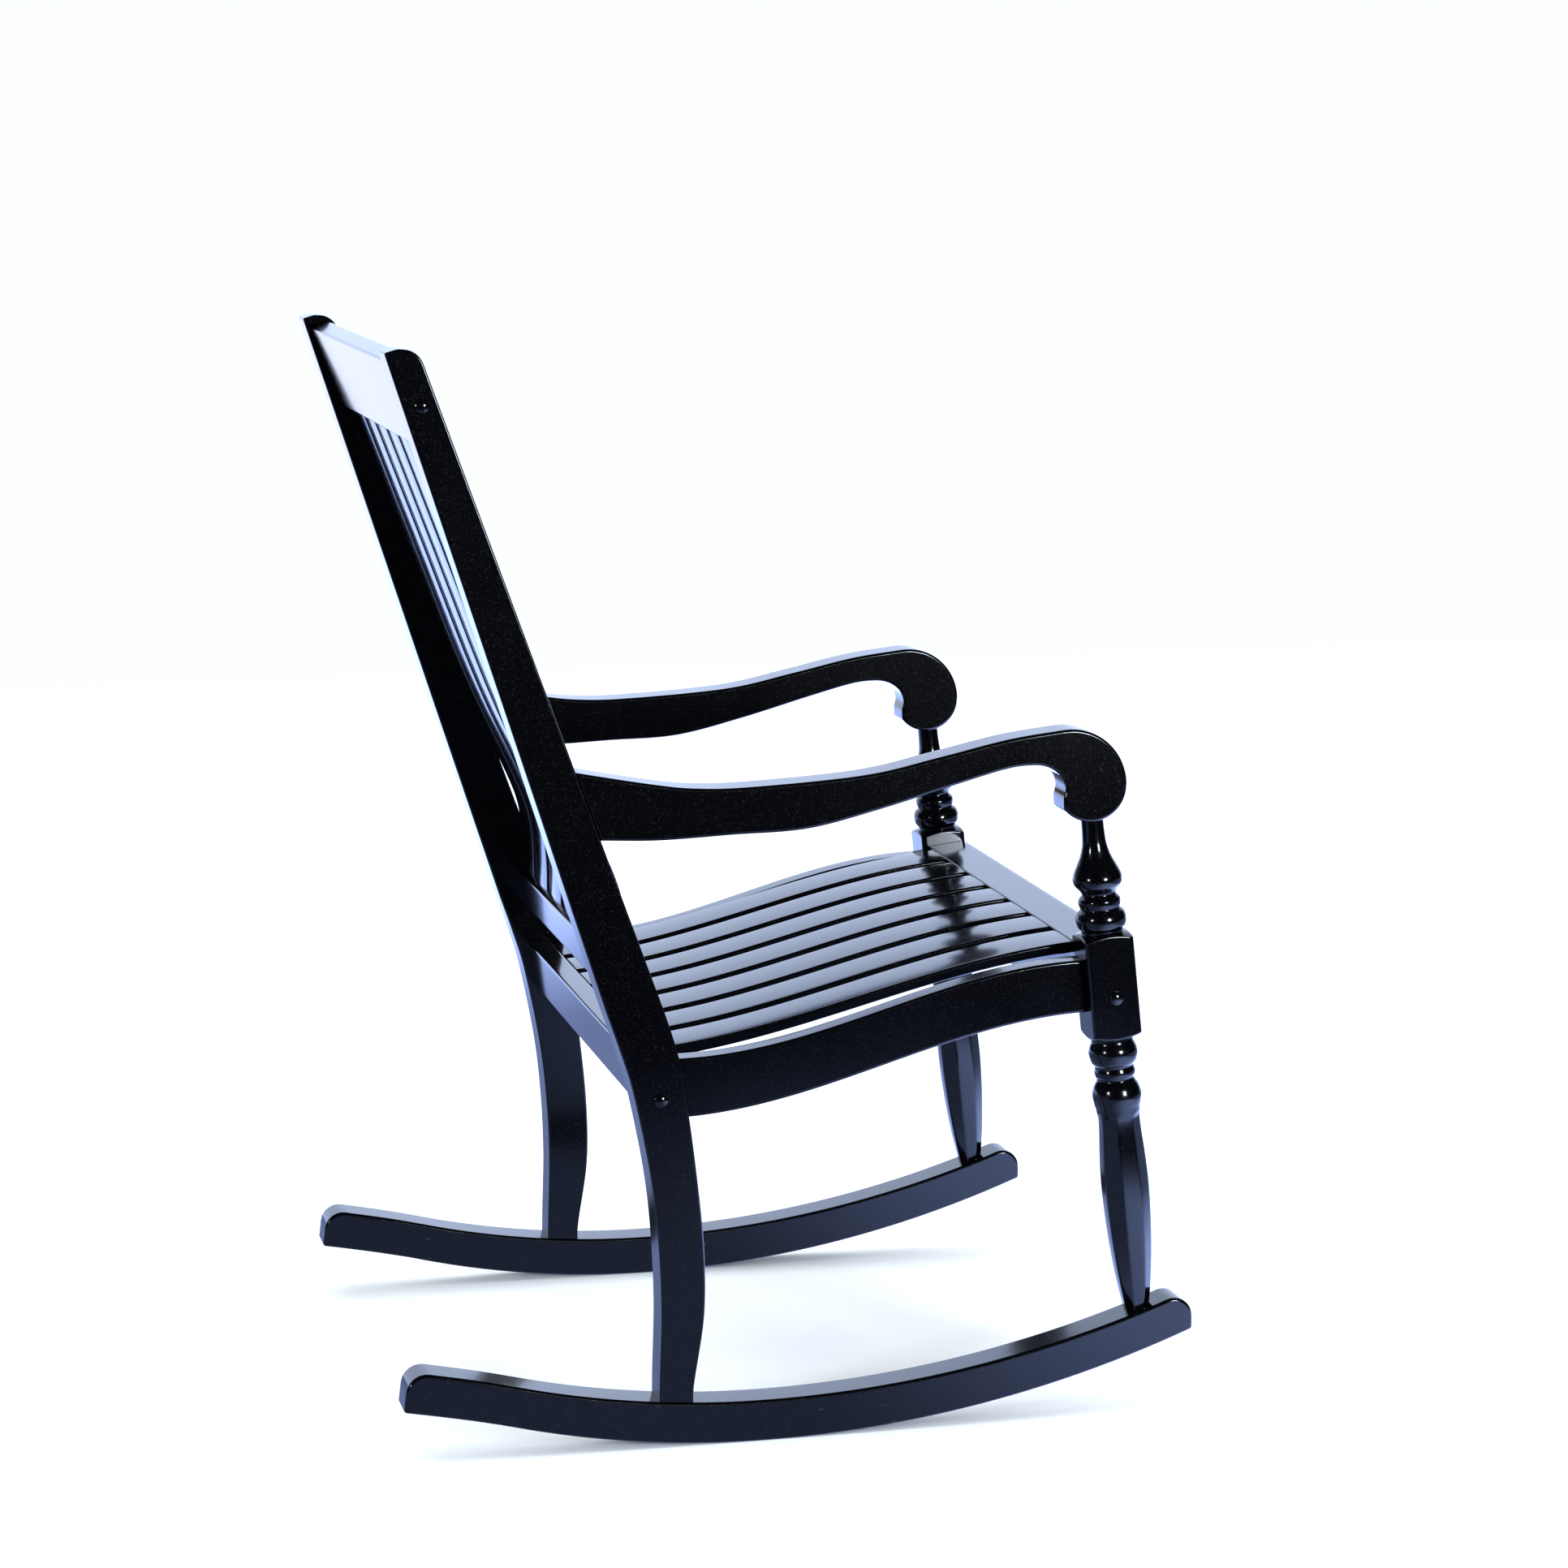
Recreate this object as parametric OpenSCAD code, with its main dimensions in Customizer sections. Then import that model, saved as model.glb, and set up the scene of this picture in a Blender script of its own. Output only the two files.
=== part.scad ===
// Slat-back rocking chair with scrolled arms, turned front posts and a
// scooped seat of front-to-back slats. Millimetres, +Z up. The sitter faces
// -Y, +X is the sitter's left, and the floor is z = 0 under the rockers.

/* [Overall] */
// Width over the rockers and the back posts
frame_w = 630; // [520:1:760]
// Height of the seat where the slats meet the front board
seat_h = 457; // [380:1:550]
// Depth from the front post axis to the front of the back posts
seat_d = 420; // [350:1:504]
// Height of the back posts above the seat front
back_rise = 580; // [480:1:700]
// Height of the arm tops above the seat front
arm_rise = 215.5; // [190:0.5:260]
// Lean of the rear edge of the back posts, in degrees
back_lean = 17.9; // [14:0.1:21.5]

/* [Side frames] */
// Thickness of the rockers and the back posts
stock_t = 40; // [33:1:48]
// Thickness of the arms
arm_t = 38; // [30:1:40]
// Width of a back post, front to back, at the seat
post_w_seat = 54.6; // [45:0.1:66]
// Width of a back post, front to back, at the top
post_w_top = 32; // [27:0.1:39]
// Width of a back post, front to back, at the foot
post_w_foot = 34.5; // [29:0.5:42]
// Rounding of the front corner of a back post's top
post_top_r = 20; // [10:1:24]
// Height of an arm where it meets the back post
arm_root_h = 64.5; // [54:0.5:78]
// Radius of the front of the arm scroll
scroll_r = 56; // [50:1:60]
// Radius of the underside of the arm scroll
scroll_low_r = 34.4; // [30:0.2:38]

/* [Rockers] */
// Height of a rocker's section
rocker_h = 39.8; // [34:0.1:47.8]
// Radius of the underside in front of the resting point
rocker_r_front = 1170; // [975:1:1404]
// Radius of the underside behind the resting point
rocker_r_rear = 950; // [792:1:1140]
// Length of rocker in front of the front post axis at seat height
rocker_toe = 85; // [71:1:102]
// Length of rocker behind the front of the back posts
rocker_tail = 265; // [221:1:318]
// Rounding of the upper corners of the rocker ends
rocker_end_r = 19; // [14:1:24]

/* [Front posts] */
// Side of the square block of a front post
block_w = 48; // [44:1:57]
// Height of the square block at its corners
block_h = 92; // [80:1:110]
// Forward lean of the front posts, in degrees
front_lean = 6; // [3:0.5:8]
// Radius of the slim neck under the arm
neck_r = 10.7; // [9:0.1:13]
// Largest radius of the vase above the beads
vase_r = 23.8; // [20:0.1:23.9]
// Largest radius of the leg below the ball
leg_r = 23.6; // [19.7:0.1:23.9]
// Radius of the foot where it meets the rocker
foot_r = 10.6; // [9:0.1:13]

/* [Seat] */
// Drop of the seat from its front to its rear end
seat_dip = 84; // [60:1:100]
// Number of seat slats
seat_slats = 7; // [5:1:8]
// Width of a seat slat
seat_slat_w = 59; // [49:1:60]
// Gap between seat slats
seat_gap = 16; // [12:1:19]
// Thickness of a seat slat
seat_slat_t = 12; // [10:1:14]
// Depth of the front seat board, front to back
board_d = 47; // [40:1:56]
// Thickness of the front seat board
board_t = 20; // [18:1:24]
// Thickness of a side rail
side_rail_t = 26; // [22:1:31]
// Distance from the outer face of a back post to the side rail
side_rail_inset = 12; // [8:1:14]
// Thickness of the front seat rail
seat_rail_t = 24; // [20:1:28]
// Thickness of the rear seat rail
rear_rail_t = 22; // [21:0.5:26]
// Height of the rear seat rail along its face
rear_rail_h = 50.5; // [42:0.5:60]
// Lean of the rear seat rail, in degrees
rear_rail_lean = 9.6; // [8:0.1:11.5]
// Lowest edge of the front seat rail below the seat front
front_rail_drop = 74; // [62:1:80]

/* [Back] */
// Height of the crest rail along its face
crest_h = 87; // [73:1:104]
// Thickness of the crest rail
crest_t = 20; // [18:1:24]
// Lean of the crest rail, in degrees
crest_lean = 21.5; // [18:0.1:24]
// Height of the lower back rail along its face
lower_rail_h = 40; // [34:1:48]
// Thickness of the lower back rail
lower_rail_t = 24; // [20:1:28]
// Lean of the lower back rail, in degrees
lower_rail_lean = 11.3; // [8:0.1:14]
// Number of back slats
back_slats = 7; // [5:1:8]
// Gap between back slats
back_gap = 14; // [11:1:17]
// Thickness of a back slat
back_slat_t = 9; // [8:0.5:11]
// Forward bow of the back slats at the small of the back
lumbar = 19.5; // [14:0.1:23.4]

/* [Joints] */
// Gap around each tenon, dowel, bolt and plug
clearance = 0.1; // [0.05:0.05:0.2]
// Diameter of the large dowels in the side frames
dowel_d = 10; // [8:0.5:10]
// Diameter of the dowels in the ends of the cross rails
rail_dowel_d = 8; // [6:0.5:8]
// Diameter of the round tenons on the front posts
tenon_d = 14; // [12:0.5:15]
// Depth of the round tenons in the arm and the rocker
tenon_l = 20; // [16:1:24]
// Depth of the slat tenons in their rails and board
slat_tenon_l = 12; // [10:1:14]
// Diameter of the frame bolts
bolt_d = 6; // [5:0.5:8]
// Length of bolt that is screwed into the insert
bolt_grip = 20; // [16:1:24]
// Diameter of the bolt head
bolt_head_d = 10; // [9:0.5:10.5]
// Height of the bolt head
bolt_head_h = 6; // [5:0.5:7]
// Depth of the counterbore under each button cap
cap_bore = 13; // [11:1:15]
// Diameter of a button cap
cap_d = 13.5; // [13:0.5:16]
// Height that a button cap stands proud
cap_h = 3.5; // [3:0.5:5]
// Outer diameter of the threaded inserts
insert_d = 10; // [9:0.5:12]
// Diameter of the wood screws
screw_d = 4; // [3.5:0.5:5]

/* [Hidden] */

$fn = 48;
lacquer = [0.06, 0.06, 0.08];
bare_wood = [0.72, 0.56, 0.38];
zinc = [0.62, 0.63, 0.65];

// Planes across the chair
half_w = frame_w / 2;
inner_x = half_w - stock_t;              // inner face of rockers and posts
frame_x = half_w - stock_t / 2;          // middle of the side frames
block_in_x = frame_x - block_w / 2;      // inner face of the front blocks
side_rail_x = half_w - side_rail_inset - side_rail_t / 2;

// Depth stations, with the whole chair centred on y = 0
top_over = 4;                            // overhang of the post tops past the tails
back_y = (rocker_toe + seat_d - rocker_tail - top_over) / 2;
front_y = back_y - seat_d;
toe_y = front_y - rocker_toe;
heel_y = back_y + rocker_tail;
rest_y = back_y - 78;                    // middle of the flat that meets the floor

// Seat surface: a drop from front to rear, part straight and part S-curve
board_y = front_y + 22;
rear_rail_y = back_y + 40.5;             // rear top edge of the rear seat rail
seat_end_y = rear_rail_y - rear_rail_t / cos(rear_rail_lean);
seat_scoop = 0.55;
function s_drop(u, scoop) = scoop * (1 - cos(180 * u)) / 2 + (1 - scoop) * u;
function seat_top(y) =
    seat_h - seat_dip * s_drop((y - board_y) / (seat_end_y - board_y), seat_scoop);

// Underside and top of a rocker: two arcs on either side of a short flat,
// with the tail easing off to a straighter line
rest_flat = 24;
tail_start = 240;
tail_ease = 0.0028;
function arc_rise(r, d) = r - sqrt(r * r - d * d);
function rocker_low(y) = let (d = abs(y - rest_y),
                              r = y < rest_y ? rocker_r_front : rocker_r_rear)
    max(arc_rise(r, d) - arc_rise(r, rest_flat / 2), 0)
    - (y > rest_y ? tail_ease * pow(max(d - tail_start, 0), 1.8) : 0);
function rocker_top(y) = rocker_low(y) + rocker_h;

// Back post: straight rear and front edges above the seat, curved leg below
bend_z = seat_h - 35;
knee_z = seat_h - 115;
foot_y = back_y + 5;
foot_z = rocker_top(foot_y);
post_top_z = seat_h + back_rise;
function back_edge(z) = back_y + 70.8 + (z - bend_z) * tan(back_lean);
post_front_bend = back_edge(bend_z) - post_w_seat;
post_front_top = back_edge(post_top_z) - post_w_top;
front_edge_slope = (post_front_top - post_front_bend) / (post_top_z - bend_z);
front_edge_lean = atan(front_edge_slope);
function front_edge(z) = post_front_bend + (z - bend_z) * front_edge_slope;
function leg_z(f) = foot_z + f * (knee_z - foot_z);

// Arms: top line above the seat, root on the post's front edge
arm_top_z = seat_h + arm_rise;
root_top_z = arm_top_z - 23.5;
root_low_z = root_top_z - arm_root_h;
scroll_c = [front_y + 44, arm_top_z - scroll_r];
scroll_low_c = [front_y + 22.7, arm_top_z - scroll_r + 1];

// Front posts: axis through the middle of the block, leaning forward
block_z = seat_h - 34.5;
function post_axis_y(z) = front_y + (z - block_z) * tan(front_lean);
block_top = block_h / 2;
dome_r = 70;
dome_drop = dome_r - sqrt(dome_r * dome_r - block_w * block_w / 2);
shoulder = block_top + dome_drop;        // where the turning starts
arm_seat_z = scroll_low_c[1] - scroll_low_r;
neck_top = (arm_seat_z - block_z) / cos(front_lean);
foot_top_y = post_axis_y(rocker_top(front_y - 33));
foot_s = (rocker_top(foot_top_y) - block_z) / cos(front_lean);

// Seat board and rails
board_slope = 0.12;
function board_top(y) = seat_h + 0.5 + (board_y - y) * board_slope;
board_front_y = board_y - board_d;
front_rail_y = front_y - 14;             // front face of the front seat rail
slat_pitch = seat_slat_w + seat_gap;
slat_tongue_t = 6;

// Back rails: rear top corner of each, and its directions
crest_top_z = post_top_z - 12;
crest_corner = [back_edge(crest_top_z) - 4.5, crest_top_z];
lower_rail_z = seat_h - 4.5;
lower_corner = [back_edge(lower_rail_z) - 27.5, lower_rail_z];
function up(lean) = [sin(lean), cos(lean)];
function fwd(lean) = [-cos(lean), sin(lean)];
rear_corner = [rear_rail_y, seat_top(rear_rail_y)];
rear_low = rear_corner - rear_rail_h * up(rear_rail_lean);
crest_low = crest_corner - crest_h * up(crest_lean);
crest_slat_in = 8;                       // slats behind the crest's rear face
lower_slat_in = 4.5;
slat_head = crest_low + crest_slat_in * fwd(crest_lean);
slat_root = lower_corner + lower_slat_in * fwd(lower_rail_lean);
back_pitch = 2 * inner_x / back_slats;
back_slat_w = back_pitch - back_gap;
// Forward bow of the slats along their length, as [fraction, share of lumbar]
bow = [[0, 0], [0.06, 0.52], [0.12, 0.9], [0.17, 1], [0.24, 0.88],
       [0.31, 0.68], [0.4, 0.42], [0.52, 0.26], [0.75, 0.15], [1, 0]];

// Bolt axes, in the side plane
crest_bolt = crest_low + crest_h * 0.485 * up(crest_lean) + crest_t / 2 * fwd(crest_lean);
rear_bolt = rear_low + 13.2 * up(rear_rail_lean) + (rear_rail_t - 7.5) * fwd(rear_rail_lean);
front_bolt = [front_rail_y + seat_rail_t / 2, seat_h - 44];
bolts = [[crest_bolt, half_w], [rear_bolt, half_w], [front_bolt, frame_x + block_w / 2]];
insert_l = 15;
cap_stem_d = bolt_head_d + 1;

// Dowels: depth in each piece
dowel_in = 20;
leg_dowel_y = [back_y - 3, back_y + 13];
arm_dowel_at = [0.28, 0.74];             // fractions of the arm root, from its top
rail_dowel_post = 13;
rail_dowel_rail = 24;

// ---- Outlines ----

// A smooth curve through the points p, with n steps between each two
function smooth(p, n = 6) = concat(
    [for (i = [0:len(p) - 2])
        let (a = p[max(i - 1, 0)], b = p[i], c = p[i + 1], d = p[min(i + 2, len(p) - 1)])
        for (k = [0:n - 1]) let (t = k / n)
            0.5 * (2 * b + (c - a) * t + (2 * a - 5 * b + 4 * c - d) * t * t
                   + (3 * b - a - 3 * c + d) * t * t * t)],
    [p[len(p) - 1]]);

// Points on an arc about c from angle a0 to a1
function arc(c, r, a0, a1, n = 10) =
    [for (i = [0:n]) let (a = a0 + (a1 - a0) * i / n) c + r * [cos(a), sin(a)]];

// The corner b of the path a-b-c, rounded with radius r
function corner(a, b, c, r, n = 6) = let (
    u = (a - b) / norm(a - b), v = (c - b) / norm(c - b),
    half = acos(u * v) / 2,
    m = b + (u + v) / norm(u + v) * r / sin(half),
    s = b + u * r / tan(half) - m, e = b + v * r / tan(half) - m,
    a0 = atan2(s[1], s[0]), turn = atan2(e[1], e[0]) - a0,
    a1 = a0 + (turn > 180 ? turn - 360 : turn < -180 ? turn + 360 : turn))
    arc(m, r, a0, a1, n);

// A side outline (y, z) given thickness t about the plane x = x_mid
module slab(x_mid, t) {
    translate([x_mid - t / 2, 0, 0]) rotate([90, 0, 90]) linear_extrude(t) children();
}

// A rod along X from x0, at the side-plane point p
module x_rod(x0, p, d, l) {
    translate([x0, p[0], p[1]]) rotate([0, 90, 0]) cylinder(d = d, h = l);
}

// ---- Rockers ----

module rocker_outline() {
    heel_top = heel_y - rocker_h * 0.12;
    flat_y = heel_y - 30;
    nose_y = toe_y + 42;
    flat0 = rest_y - rest_flat / 2;
    flat1 = rest_y + rest_flat / 2;
    polygon(concat(
        corner([toe_y, rocker_top(toe_y)], [toe_y, rocker_low(toe_y)],
               [toe_y + 15, rocker_low(toe_y + 15)], 3),
        [for (i = [1:18]) let (y = toe_y + (flat0 - toe_y) * i / 18) [y, rocker_low(y)]],
        [for (i = [0:13]) let (y = flat1 + (heel_y - flat1) * i / 14) [y, rocker_low(y)]],
        corner([heel_y - 15, rocker_low(heel_y - 15)], [heel_y, rocker_low(heel_y)],
               [heel_top, rocker_top(heel_y)], 3),
        corner([heel_y, rocker_low(heel_y)], [heel_top, rocker_low(heel_y) + rocker_h],
               [flat_y, rocker_top(flat_y)], rocker_end_r),
        [for (i = [0:28]) let (y = flat_y + (nose_y - flat_y) * i / 28) [y, rocker_top(y)]],
        corner([nose_y, rocker_top(nose_y)], [toe_y, rocker_top(toe_y)],
               [toe_y, rocker_low(toe_y)], rocker_end_r)));
}

module rocker() {
    difference() {
        slab(-frame_x, stock_t) rocker_outline();
        for (y = leg_dowel_y) translate([-frame_x, y, rocker_top(y) - dowel_in - 1])
            cylinder(d = dowel_d + 2 * clearance, h = dowel_in + 20);
        post_frame() translate([0, 0, foot_s - tenon_l - 1])
            cylinder(d = tenon_d + 2 * clearance, h = tenon_l + 30);
    }
}
module right_rocker() { color(lacquer) rocker(); }
module left_rocker() { color(lacquer) mirror([1, 0, 0]) rocker(); }

// ---- Back posts ----

module back_post_outline() {
    rear = smooth([[back_y + 22.5, foot_z - 12], [back_y + 22, leg_z(0.08)],
        [back_y + 20.3, leg_z(0.3)], [back_y + 22.8, leg_z(0.52)],
        [back_y + 30, leg_z(0.74)], [back_y + 45.3, knee_z],
        [back_edge(seat_h - 75) - 0.8, seat_h - 75], [back_edge(bend_z), bend_z]]);
    back_foot = back_y + 22.5 - post_w_foot;
    front = smooth([[front_edge(bend_z), bend_z], [front_edge(seat_h - 77) + 2, seat_h - 77],
        [back_y - 4, knee_z], [back_y - 14, leg_z(0.75)], [back_y - 21, leg_z(0.5)],
        [back_y - 21, leg_z(0.28)], [back_foot + 1.5, leg_z(0.04)],
        [back_foot, foot_z - 12]]);
    heel = [back_edge(post_top_z - 2.5), post_top_z - 2.5];
    crown = [back_edge(post_top_z) - 13, post_top_z + 1];
    brow = [front_edge(post_top_z), post_top_z];
    polygon(concat(rear,
        corner(rear[len(rear) - 1], heel, crown, 2, 3),
        corner(heel, crown, brow, 12, 3),
        corner(crown, brow, front[0], post_top_r),
        front));
}

module back_post() {
    difference() {
        slab(-frame_x, stock_t) back_post_outline();
        slab(-frame_x, stock_t + 2) rocker_outline();
        for (y = leg_dowel_y) translate([-frame_x, y, 0])
            cylinder(d = dowel_d + 2 * clearance, h = rocker_top(y) + dowel_in + 1);
        arm_dowel_places() arm_dowel(clearance);
        side_rail_dowel_places(true) side_rail_dowel(clearance);
        cross_rail_dowel_places() cross_rail_dowel(clearance);
        for (b = [crest_bolt, rear_bolt]) bolt_hole(b, half_w);
    }
}
module right_back_post() { color(lacquer) back_post(); }
module left_back_post() { color(lacquer) mirror([1, 0, 0]) back_post(); }

// ---- Front posts ----

// Moves its child to the front post axis, with z = 0 at the block's middle
module post_frame() {
    translate([-frame_x, front_y, block_z]) rotate([-front_lean, 0, 0]) children();
}

// Half-outlines of the turnings, as [radius, distance along the axis]
upper_turning = smooth([
    [20.2, shoulder - 5], [20.2, shoulder - 0.5], [23, shoulder + 3], [24.4, shoulder + 10],
    [22.6, shoulder + 16.5], [19.2, shoulder + 20], [20.2, shoulder + 24.5],
    [20, shoulder + 29.5], [16.3, shoulder + 34.2], [18.3, shoulder + 38.5],
    [22.4, shoulder + 43.5], [vase_r, shoulder + 49], [22.7, shoulder + 54.5],
    [19, shoulder + 62.5], [15, shoulder + 71], [12, shoulder + 82],
    [neck_r + 0.3, shoulder + 95], [neck_r, neck_top + 8]], 4);
ball_s = -shoulder - 54;                 // middle of the ball
ankle_s = ball_s - 21;                   // neck between the ball and the leg
leg_l = ankle_s - foot_s;
lower_turning = smooth([
    [20.2, -shoulder + 5], [20.2, -shoulder - 0.5], [23, -shoulder - 7.5],
    [23.6, -shoulder - 13.5], [21.8, -shoulder - 21], [18.8, -shoulder - 25.5],
    [19.8, -shoulder - 30.5], [19.4, -shoulder - 34.5], [18, -shoulder - 38.5],
    [22, ball_s + 8], [23.8, ball_s], [22.3, ball_s - 8], [19, ankle_s],
    [20.8, ankle_s - leg_l * 0.07], [22.6, ankle_s - leg_l * 0.2],
    [leg_r, ankle_s - leg_l * 0.34], [23, ankle_s - leg_l * 0.48],
    [21, ankle_s - leg_l * 0.64], [17.6, ankle_s - leg_l * 0.8],
    [13.4, ankle_s - leg_l * 0.93], [foot_r, foot_s], [foot_r - 1, foot_s - 8]], 4);

module turning(p) {
    rotate_extrude() polygon(concat([[0, p[0][1]]], p, [[0, p[len(p) - 1][1]]]));
}

module block() {
    dome_z = block_top + dome_drop - dome_r;
    intersection() {
        translate([-block_w / 2, -block_w / 2, -block_top - 10])
            cube([block_w, block_w, block_h + 20]);
        rotate_extrude() polygon(concat(
            [[0, -shoulder]],
            arc([0, -dome_z], dome_r, -90 + 5, -60.5, 6),
            [[block_w, -block_top], [block_w, block_top]],
            arc([0, dome_z], dome_r, 60.5, 85, 6),
            [[0, shoulder]]));
    }
}

module front_post() {
    difference() {
        post_frame() union() {
            turning(upper_turning);
            turning(lower_turning);
            block();
        }
        slab(-frame_x, block_w) arm_outline();
        slab(-frame_x, block_w) rocker_outline();
        side_rail_dowel_places(false) side_rail_dowel(clearance);
        cross_rail_dowel_places() cross_rail_dowel(clearance);
        bolt_hole(front_bolt, frame_x + block_w / 2);
    }
    intersection() {
        post_frame() translate([0, 0, neck_top - 6]) cylinder(d = tenon_d, h = tenon_l + 6);
        slab(-frame_x, block_w) arm_outline();
    }
    intersection() {
        post_frame() translate([0, 0, foot_s - tenon_l]) cylinder(d = tenon_d, h = tenon_l + 12);
        slab(-frame_x, block_w) rocker_outline();
    }
}
module right_front_post() { color(lacquer) front_post(); }
module left_front_post() { color(lacquer) mirror([1, 0, 0]) front_post(); }

// ---- Arms ----

module arm_outline() {
    top = arm_top_z;
    notch_y = front_y + 49;
    low = arc(scroll_low_c, scroll_low_r, 180, 322, 14);
    back = front_edge(root_top_z);
    polygon(concat(
        smooth([[back + 12, root_top_z + 3], [back, root_top_z], [back_y + 29.5, top - 36.5],
            [back_y - 15, top - 42.5], [back_y - 70, top - 43],
            [front_y + 0.58 * seat_d, top - 36], [front_y + 0.41 * seat_d, top - 22],
            [front_y + 0.25 * seat_d, top - 7.5], [scroll_c[0] + 9, top - 0.7]], 5),
        arc(scroll_c, scroll_r, 90, 178, 12),
        low,
        smooth([low[len(low) - 1], [notch_y + 1.2, top - 66], [notch_y - 0.5, top - 56],
            [notch_y + 4.5, top - 44], [front_y + 67, top - 35.2], [front_y + 84, top - 33.2],
            [front_y + 108, top - 36], [front_y + 0.37 * seat_d, top - 48.5],
            [front_y + 0.54 * seat_d, top - 68.5], [front_y + 0.71 * seat_d, top - 84.5],
            [back_y - 50, root_low_z + 0.5], [back_y + 20, root_low_z - 2],
            [front_edge(root_low_z), root_low_z], [back - 8, root_low_z]], 5)));
}

module arm() {
    difference() {
        slab(-frame_x, arm_t) arm_outline();
        slab(-frame_x, stock_t + 2) back_post_outline();
        arm_dowel_places() arm_dowel(clearance);
        post_frame() cylinder(d = tenon_d + 2 * clearance, h = neck_top + tenon_l + 1);
    }
}
module right_arm() { color(lacquer) arm(); }
module left_arm() { color(lacquer) mirror([1, 0, 0]) arm(); }

// ---- Seat rails and board ----

module side_rail_outline() {
    y0 = front_y + block_w / 2 - 4;
    y1 = back_y + 12;
    n = 24;
    drop_top = seat_dip - 9;
    drop_low = seat_dip - 3;
    top_z = seat_h - 9;
    low_z = seat_h - 60;
    front = front_y + 20;
    polygon(concat(
        [for (i = [0:n]) let (y = y0 + (y1 - y0) * i / n, u = (y - front) / (back_y - front))
            [y, top_z - drop_top * s_drop(max(0, min(u, 1)), 1)]],
        [for (i = [n:-1:0]) let (y = y0 + (y1 - y0) * i / n, u = (y - front) / (back_y - front))
            [y, low_z - drop_low * s_drop(max(0, min(u, 1)), 0.85)]]));
}

module side_rail() {
    difference() {
        slab(-side_rail_x, side_rail_t) side_rail_outline();
        slab(-side_rail_x, side_rail_t + 2) back_post_outline();
        post_frame() cube([block_w, block_w, block_h + 60], center = true);
        side_rail_dowel_places(true) side_rail_dowel(clearance);
        side_rail_dowel_places(false) side_rail_dowel(clearance);
    }
}
module right_side_rail() { color(lacquer) side_rail(); }
module left_side_rail() { color(lacquer) mirror([1, 0, 0]) side_rail(); }

module front_rail_outline() {
    y0 = front_rail_y;
    y1 = y0 + seat_rail_t;
    polygon([[y0, seat_h - front_rail_drop], [y1, seat_h - front_rail_drop],
             [y1, board_top(y1) - board_t], [y0, board_top(y0) - board_t]]);
}

board_screw_x = [-0.7 * inner_x, 0, 0.7 * inner_x];
board_screw_l = 38;
module front_seat_rail() {
    color(lacquer) difference() {
        slab(0, 2 * block_in_x) front_rail_outline();
        both_sides() cross_rail_dowel_places() cross_rail_dowel(clearance);
        both_sides() insert_hole(front_bolt, block_in_x);
        for (x = board_screw_x) board_screw_place(x) screw_hole(board_screw_l, 40);
    }
}

module board_outline() {
    y0 = board_front_y;
    top0 = [y0, board_top(y0)];
    low0 = [y0, board_top(y0) - board_t];
    polygon(concat(
        [[board_y, board_top(board_y)]],
        corner([board_y, board_top(board_y)], top0, low0, board_t * 0.4),
        corner(top0, low0, [board_y, board_top(board_y) - board_t], board_t * 0.3),
        [[board_y, board_top(board_y) - board_t]]));
}

module front_seat_board() {
    color(lacquer) difference() {
        slab(0, 2 * (block_in_x - 0.5)) board_outline();
        for (i = [1:seat_slats]) seat_slat_tongues(i, clearance);
        for (x = board_screw_x) board_screw_place(x) screw_hole(board_screw_l, 40);
    }
}

module rear_rail_outline() {
    n = 4;
    polygon(concat(
        [rear_low + rear_rail_t * fwd(rear_rail_lean), rear_low],
        [for (i = [0:n]) let (y = rear_rail_y + (seat_end_y - rear_rail_y) * i / n)
            [y, seat_top(y)]]));
}

module rear_seat_rail() {
    color(lacquer) difference() {
        slab(0, 2 * inner_x) rear_rail_outline();
        for (i = [1:seat_slats]) seat_slat_tongues(i, clearance);
        both_sides() cross_rail_dowel_places() cross_rail_dowel(clearance);
        both_sides() insert_hole(rear_bolt, inner_x);
    }
}

// ---- Seat slats ----

function seat_slat_x(i) = (i - (seat_slats + 1) / 2) * slat_pitch;

module seat_slat_tongues(i, grow) {
    w = seat_slat_w - 8 + 2 * grow;
    l = slat_tenon_l + 6 + grow;
    for (e = [[board_y, -slat_tenon_l - grow], [seat_end_y, -6]])
        translate([seat_slat_x(i) - w / 2, e[0] + e[1],
                   seat_top(e[0]) - (seat_slat_t + slat_tongue_t) / 2 - grow])
            cube([w, l, slat_tongue_t + 2 * grow]);
}

module seat_slat(i) {
    n = 30;
    span = seat_end_y - board_y;
    color(lacquer) {
        difference() {
            slab(seat_slat_x(i), seat_slat_w) polygon(concat(
                [for (k = [0:n]) let (y = board_y + span * k / n) [y, seat_top(y)]],
                [for (k = [n:-1:0]) let (y = board_y + span * k / n)
                    [y, seat_top(y) - seat_slat_t]]));
            slab(seat_slat_x(i), seat_slat_w + 2) rear_rail_outline();
        }
        seat_slat_tongues(i, 0);
    }
}

// ---- Back rails and slats ----

// A rail of height h and thickness t, with its rear top corner at p
module leaning_rail(p, lean, h, t) {
    slab(0, 2 * inner_x) polygon([p, p - h * up(lean), p - h * up(lean) + t * fwd(lean),
                                  p + t * fwd(lean)]);
}

module crest_rail() {
    color(lacquer) difference() {
        leaning_rail(crest_corner, crest_lean, crest_h, crest_t);
        for (i = [1:back_slats]) back_slat_tenons(i, clearance);
        both_sides() cross_rail_dowel_places() cross_rail_dowel(clearance);
        both_sides() insert_hole(crest_bolt, inner_x);
    }
}

module lower_back_rail() {
    color(lacquer) difference() {
        leaning_rail(lower_corner, lower_rail_lean, lower_rail_h, lower_rail_t);
        for (i = [1:back_slats]) back_slat_tenons(i, clearance);
        both_sides() cross_rail_dowel_places() cross_rail_dowel(clearance);
    }
}

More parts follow.
